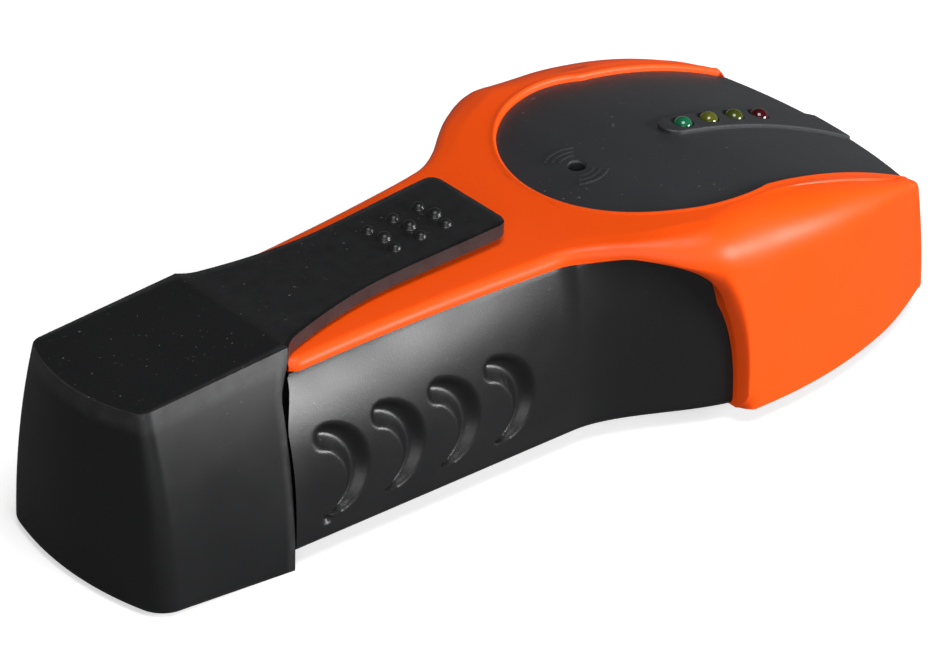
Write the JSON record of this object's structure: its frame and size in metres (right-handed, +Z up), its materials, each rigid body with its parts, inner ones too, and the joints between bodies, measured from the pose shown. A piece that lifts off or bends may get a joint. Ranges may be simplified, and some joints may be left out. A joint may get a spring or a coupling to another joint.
{
  "type": "stud finder",
  "caption": "Handheld stud finder with a broad sensing head, waisted grip with finger grooves, sprung thumb tongue, indicator lamps and a slide-off battery cover.",
  "frame": {"origin": "under the middle of the body, on the sensing face", "axes": "+Y towards the sensing head, +Z up out of the display, +X to the right of someone who holds it"},
  "size_m": [0.064, 0.16, 0.0392],
  "materials": {
    "black_plastic": "fine matte texture",
    "orange_plastic": "satin",
    "panel_plastic": "satin",
    "green_lens": "tinted, polished",
    "yellow_lens": "tinted, polished",
    "lime_lens": "tinted, polished",
    "red_lens": "tinted, polished",
    "tinned_metal": "bright",
    "screw_steel": "zinc plated",
    "pale_plastic": "moulded",
    "dark_plastic": "moulded",
    "board_green": "solder mask",
    "blue_sleeve": "printed sleeve",
    "tan_ceramic": "lacquered",
    "copper": "bare copper",
    "gold_plating": "plated",
    "battery_wrap": "printed steel jacket",
    "red_wire": "PVC",
    "black_wire": "PVC",
    "foam": "closed-cell foam",
    "label_film": "metallised film"
  },
  "bodies": {
    "housing": {"base_housing": "black_plastic", "top_housing": "orange_plastic", "display_panel": "panel_plastic", "led_green": "green_lens", "led_yellow": "yellow_lens", "led_lime": "lime_lens", "led_red": "red_lens", "led_leads": "tinned_metal", "switch_body": "dark_plastic", "circuit_board": "board_green", "board_screws": "screw_steel", "housing_screws": "screw_steel", "buzzer": "dark_plastic", "controller_chip": "dark_plastic", "chip_legs": "tinned_metal", "capacitors": "blue_sleeve", "resistors": "tan_ceramic", "regulator": "dark_plastic", "header_pins": "gold_plating", "sensor_board": "board_green", "sensor_plates": "copper", "snap_connector": "dark_plastic", "snap_contacts": "gold_plating", "positive_wire": "red_wire", "negative_wire": "black_wire", "rating_label": "label_film"},
    "tail_cover": {"battery_cover": "black_plastic", "battery_pad": "foam"},
    "tongue": {"press_tongue": "black_plastic"},
    "plunger": {"switch_plunger": "pale_plastic", "switch_stem": "dark_plastic"},
    "battery": {"battery_case": "battery_wrap", "battery_terminals": "tinned_metal"}
  },
  "joints": [
    {"name": "cover_slide", "type": "slide", "parent": "housing", "child": "tail_cover", "axis": [0, -1, 0], "range_m": [0, 0.062]},
    {"name": "tongue_press", "type": "hinge", "parent": "tail_cover", "child": "tongue", "pos_m": [0, -0.0488, 0.0346], "axis": [-1, 0, 0], "range_deg": [0, 0.7], "stiffness_Nm_per_rad": 1.2},
    {"name": "plunger_slide", "type": "slide", "parent": "housing", "child": "plunger", "axis": [0, 0, -1], "range_m": [0, 0.00043]},
    {"name": "battery_slide", "type": "slide", "parent": "housing", "child": "battery", "axis": [0, -1, 0], "range_m": [0, 0.031]}
  ],
  "couplings": [
    {"joint": "plunger_slide", "follows": "tongue_press", "m_per_rad": 0.035},
    {"joint": "battery_slide", "follows": "cover_slide", "ratio": 0.5}
  ]
}
